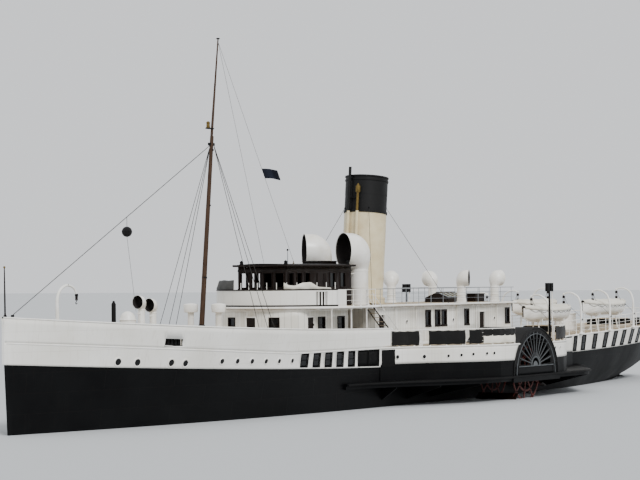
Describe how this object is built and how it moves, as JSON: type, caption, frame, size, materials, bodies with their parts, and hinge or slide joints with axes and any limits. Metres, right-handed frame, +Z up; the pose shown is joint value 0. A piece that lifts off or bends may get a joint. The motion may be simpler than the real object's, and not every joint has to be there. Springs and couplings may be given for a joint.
{
  "type": "paddle steamer, 1:2 scale model",
  "caption": "Half-size model of a black and white excursion paddle steamer with side wheels on flared sponsons, one tall funnel, raked mast, bridge, cowl vents and lifeboats on davits.",
  "frame": {"origin": "amidships on the centreline at the waterline", "axes": "+X to the bow, +Y to port, +Z up"},
  "size_m": [38.69, 8.85, 12.5],
  "materials": {
    "black_paint": "semi-gloss black hull paint",
    "white_paint": "semi-gloss off-white paint",
    "buff_paint": "semi-gloss buff paint with a black top",
    "red_paint": "matt red oxide paint, wet and worn",
    "iron": "oiled dark iron",
    "teak": "scrubbed teak planking",
    "dark_teak": "dark varnished teak",
    "dark_cloth": "dark woven bunting"
  },
  "bodies": {
    "ship": {"boat_deck": "teak", "bridge_screen": "white_paint", "bulwark": "white_paint", "companion_aft": "white_paint", "companion_fore": "white_paint", "cowl_bridge_port": "white_paint", "cowl_bridge_stbd": "white_paint", "cowl_engine_aft_port": "white_paint", "cowl_engine_aft_stbd": "white_paint", "cowl_engine_fore_port": "white_paint", "cowl_engine_fore_stbd": "white_paint", "cowl_foredeck_aft": "white_paint", "cowl_foredeck_fore": "white_paint", "deckhouse": "white_paint", "deckhouse_front": "white_paint", "engine": "iron", "flag": "dark_cloth", "foredeck": "teak", "funnel": "buff_paint", "headed_vent_port": "white_paint", "headed_vent_stbd": "white_paint", "hull": "black_paint", "lifeboat_aft_port": "white_paint", "lifeboat_aft_stbd": "white_paint", "lifeboat_fore_port": "white_paint", "lifeboat_fore_stbd": "white_paint", "lounge": "white_paint", "mast": "white_paint", "paddle_box_port": "black_paint", "paddle_box_stbd": "black_paint", "promenade_deck": "teak", "rail_aft": "white_paint", "rail_boat_deck": "white_paint", "rail_fore_port": "white_paint", "rail_fore_stbd": "white_paint", "skylight": "dark_teak", "sponson_port": "black_paint", "sponson_stbd": "black_paint", "topsides": "white_paint", "topsides_aft": "white_paint", "wheelhouse": "dark_teak", "wheelhouse_roof": "dark_teak", "windlass": "black_paint"},
    "paddles": {"paddle_shaft": "iron", "paddle_wheel_port": "red_paint", "paddle_wheel_stbd": "red_paint"},
    "rudder": {"rudder": "black_paint"},
    "anchor_davit": {"anchor_davit": "white_paint"},
    "wheelhouse_door_port": {"wheelhouse_door_port": "dark_teak"},
    "lounge_door_port": {"lounge_door_port": "white_paint"},
    "davit_fore_a_port": {"davit_fore_a_port": "white_paint"},
    "davit_fore_b_port": {"davit_fore_b_port": "white_paint"},
    "davit_aft_a_port": {"davit_aft_a_port": "white_paint"},
    "davit_aft_b_port": {"davit_aft_b_port": "white_paint"},
    "wheelhouse_door_stbd": {"wheelhouse_door_stbd": "dark_teak"},
    "lounge_door_stbd": {"lounge_door_stbd": "white_paint"},
    "davit_fore_a_stbd": {"davit_fore_a_stbd": "white_paint"},
    "davit_fore_b_stbd": {"davit_fore_b_stbd": "white_paint"},
    "davit_aft_a_stbd": {"davit_aft_a_stbd": "white_paint"},
    "davit_aft_b_stbd": {"davit_aft_b_stbd": "white_paint"}
  },
  "joints": [
    {"name": "paddle_spin", "type": "hinge", "parent": "ship", "child": "paddles", "pos_m": [-2.9, 0, 0.825], "axis": [0, 1, 0], "continuous": true},
    {"name": "rudder_turn", "type": "hinge", "parent": "ship", "child": "rudder", "pos_m": [-18.16, 0, 0], "axis": [0, 0, 1], "range_deg": [-35, 35]},
    {"name": "anchor_davit_turn", "type": "hinge", "parent": "ship", "child": "anchor_davit", "pos_m": [16.5, 0, 2.5], "axis": [0, 0, 1], "range_deg": [-110, 110]},
    {"name": "wheelhouse_door_port_hinge", "type": "hinge", "parent": "ship", "child": "wheelhouse_door_port", "pos_m": [4.79, 0.9353, 3.8], "axis": [0, 0, 1], "range_deg": [0, 100]},
    {"name": "lounge_door_port_hinge", "type": "hinge", "parent": "ship", "child": "lounge_door_port", "pos_m": [6.39, 1.6103, 2.5], "axis": [0, 0, 1], "range_deg": [0, 100]},
    {"name": "davit_fore_a_port_turn", "type": "hinge", "parent": "ship", "child": "davit_fore_a_port", "pos_m": [-7.675, 2.375, 2], "axis": [0, 0, 1], "range_deg": [-180, 0]},
    {"name": "davit_fore_b_port_turn", "type": "hinge", "parent": "ship", "child": "davit_fore_b_port", "pos_m": [-10.225, 2.375, 2], "axis": [0, 0, 1], "range_deg": [-180, 0]},
    {"name": "davit_aft_a_port_turn", "type": "hinge", "parent": "ship", "child": "davit_aft_a_port", "pos_m": [-12.65, 2.36323, 2.25], "axis": [0, 0, 1], "range_deg": [-180, 0]},
    {"name": "davit_aft_b_port_turn", "type": "hinge", "parent": "ship", "child": "davit_aft_b_port", "pos_m": [-14.95, 2.24753, 2.25], "axis": [0, 0, 1], "range_deg": [-180, 0]},
    {"name": "wheelhouse_door_stbd_hinge", "type": "hinge", "parent": "ship", "child": "wheelhouse_door_stbd", "pos_m": [4.79, -0.9353, 3.8], "axis": [0, 0, 1], "range_deg": [-100, 0]},
    {"name": "lounge_door_stbd_hinge", "type": "hinge", "parent": "ship", "child": "lounge_door_stbd", "pos_m": [6.39, -1.6103, 2.5], "axis": [0, 0, 1], "range_deg": [-100, 0]},
    {"name": "davit_fore_a_stbd_turn", "type": "hinge", "parent": "ship", "child": "davit_fore_a_stbd", "pos_m": [-7.675, -2.375, 2], "axis": [0, 0, 1], "range_deg": [0, 180]},
    {"name": "davit_fore_b_stbd_turn", "type": "hinge", "parent": "ship", "child": "davit_fore_b_stbd", "pos_m": [-10.225, -2.375, 2], "axis": [0, 0, 1], "range_deg": [0, 180]},
    {"name": "davit_aft_a_stbd_turn", "type": "hinge", "parent": "ship", "child": "davit_aft_a_stbd", "pos_m": [-12.65, -2.36323, 2.25], "axis": [0, 0, 1], "range_deg": [0, 180]},
    {"name": "davit_aft_b_stbd_turn", "type": "hinge", "parent": "ship", "child": "davit_aft_b_stbd", "pos_m": [-14.95, -2.24753, 2.25], "axis": [0, 0, 1], "range_deg": [0, 180]}
  ]
}
